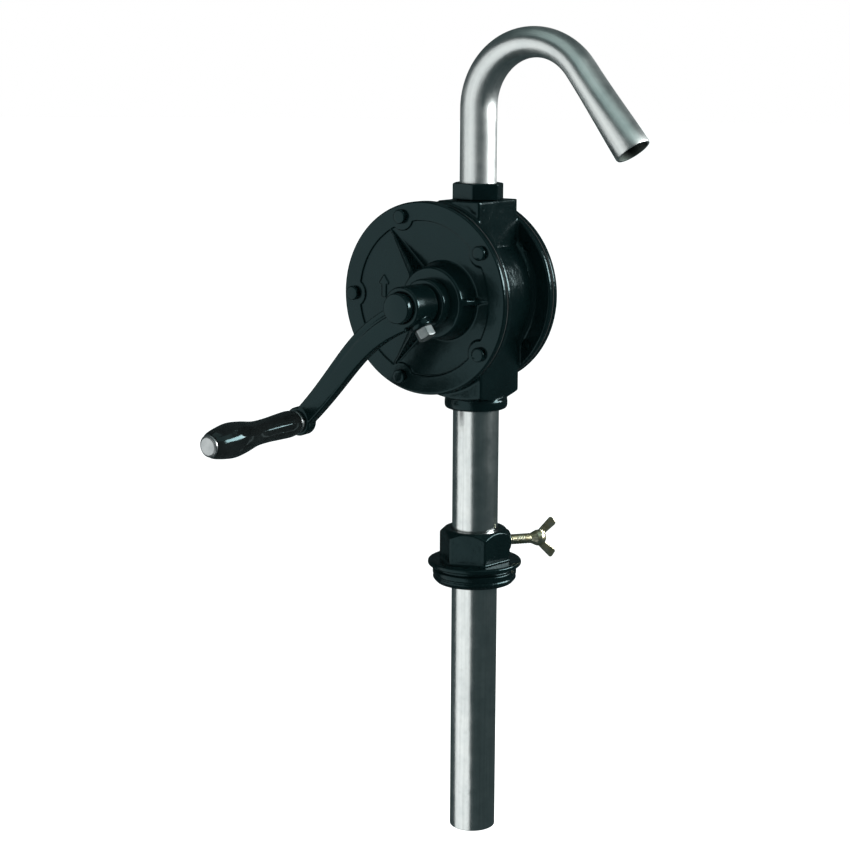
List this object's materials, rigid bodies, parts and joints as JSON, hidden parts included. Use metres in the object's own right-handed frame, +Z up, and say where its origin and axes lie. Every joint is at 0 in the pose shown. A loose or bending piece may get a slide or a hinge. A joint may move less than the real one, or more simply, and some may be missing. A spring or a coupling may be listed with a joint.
{
  "type": "drum barrel pump",
  "caption": "Hand-cranked rotary vane pump with a bent spout, a bung adapter with wing screw, and a telescoping suction tube, for emptying drums.",
  "frame": {"origin": "on the suction tube's axis at the underside of the bung adapter's collar, where it rests on the drum", "axes": "+Z up along the suction tube, the pump's shaft along Y with the crank on the -Y side, and the spout pointing to +X"},
  "size_m": [0.2426, 0.2356, 0.5932],
  "materials": {
    "casting_paint": "green-black gloss enamel over an as-cast surface",
    "galvanised_pipe": "satin zinc-plated pipe with faint lengthwise drawing marks",
    "bright_zinc": "bright zinc plate",
    "yellow_zinc": "zinc plate with a yellow passivate",
    "turned_iron": "machined cast iron",
    "ground_steel": "ground steel",
    "bearing_bronze": "turned bearing bronze",
    "gloss_black_grip": "gloss black moulding",
    "black_rubber": "matt black nitrile rubber",
    "pressed_fibre": "matt dark grey pressed fibre",
    "acetal": "off-white acetal"
  },
  "bodies": {
    "bung": {"bung_adapter": "casting_paint"},
    "clamp_screw": {"wing_screw": "yellow_zinc"},
    "seal": {"bung_seal_ring": "black_rubber"},
    "pump": {"suction_tube": "galvanised_pipe", "tube_end_bush": "acetal", "pump_body": "casting_paint", "front_cover": "casting_paint", "rear_cover": "casting_paint", "front_gasket": "pressed_fibre", "rear_gasket": "pressed_fibre", "front_bolt_1": "casting_paint", "front_bolt_2": "casting_paint", "front_bolt_3": "casting_paint", "front_bolt_4": "casting_paint", "front_bolt_5": "casting_paint", "rear_bolt_1": "casting_paint", "rear_bolt_2": "casting_paint", "rear_bolt_3": "casting_paint", "rear_bolt_4": "casting_paint", "rear_bolt_5": "casting_paint", "front_bush": "bearing_bronze", "rear_bush": "bearing_bronze", "packing_ring_1": "pressed_fibre", "packing_ring_2": "pressed_fibre", "gland_nut": "casting_paint", "outlet_nut": "casting_paint", "outlet_seal": "black_rubber"},
    "inner_tube": {"inner_suction_tube": "galvanised_pipe", "inner_tube_guide": "acetal"},
    "crank": {"rotor_shaft": "turned_iron", "crank_arm": "casting_paint", "crank_set_screw": "bright_zinc", "grip_washer": "bright_zinc", "grip_pin": "bright_zinc"},
    "grip": {"grip": "gloss_black_grip"},
    "vane_roller": {"vane_roller": "ground_steel"},
    "vanes": {"upper_vane": "acetal", "lower_vane": "acetal"},
    "spout": {"spout": "galvanised_pipe"}
  },
  "joints": [
    {"name": "clamp_screw_turn", "type": "hinge", "parent": "bung", "child": "clamp_screw", "pos_m": [0, 0, 0.0165], "axis": [0.6374, 0.7705, 0], "range_deg": [0, 360]},
    {"name": "pump_swivel", "type": "hinge", "parent": "bung", "child": "seal", "pos_m": [0, 0, 0], "axis": [0, 0, 1], "continuous": true},
    {"name": "height_slide", "type": "slide", "parent": "seal", "child": "pump", "axis": [0, 0, 1], "range_m": [-0.07, 0.16]},
    {"name": "inner_tube_slide", "type": "slide", "parent": "pump", "child": "inner_tube", "axis": [0, 0, -1], "range_m": [0, 0.25]},
    {"name": "crank_turn", "type": "hinge", "parent": "pump", "child": "crank", "pos_m": [-0.0055, 0, 0.199], "axis": [0, 1, 0], "continuous": true},
    {"name": "grip_spin", "type": "hinge", "parent": "crank", "child": "grip", "pos_m": [-0.0915, -0.089, 0.111], "axis": [-0.0366, -0.9986, -0.0374], "continuous": true},
    {"name": "vane_roller_orbit", "type": "hinge", "parent": "pump", "child": "vane_roller", "pos_m": [-0.01425, 0, 0.199], "axis": [0, 1, 0], "continuous": true},
    {"name": "vane_slide_turn", "type": "hinge", "parent": "vane_roller", "child": "vanes", "pos_m": [-0.0055, 0, 0.199], "axis": [0, 1, 0], "continuous": true},
    {"name": "spout_swivel", "type": "hinge", "parent": "pump", "child": "spout", "pos_m": [0, 0, 0.269], "axis": [0, 0, 1], "continuous": true}
  ],
  "couplings": [
    {"joint": "vane_roller_orbit", "follows": "crank_turn", "ratio": 2},
    {"joint": "vane_slide_turn", "follows": "crank_turn", "ratio": -1}
  ]
}
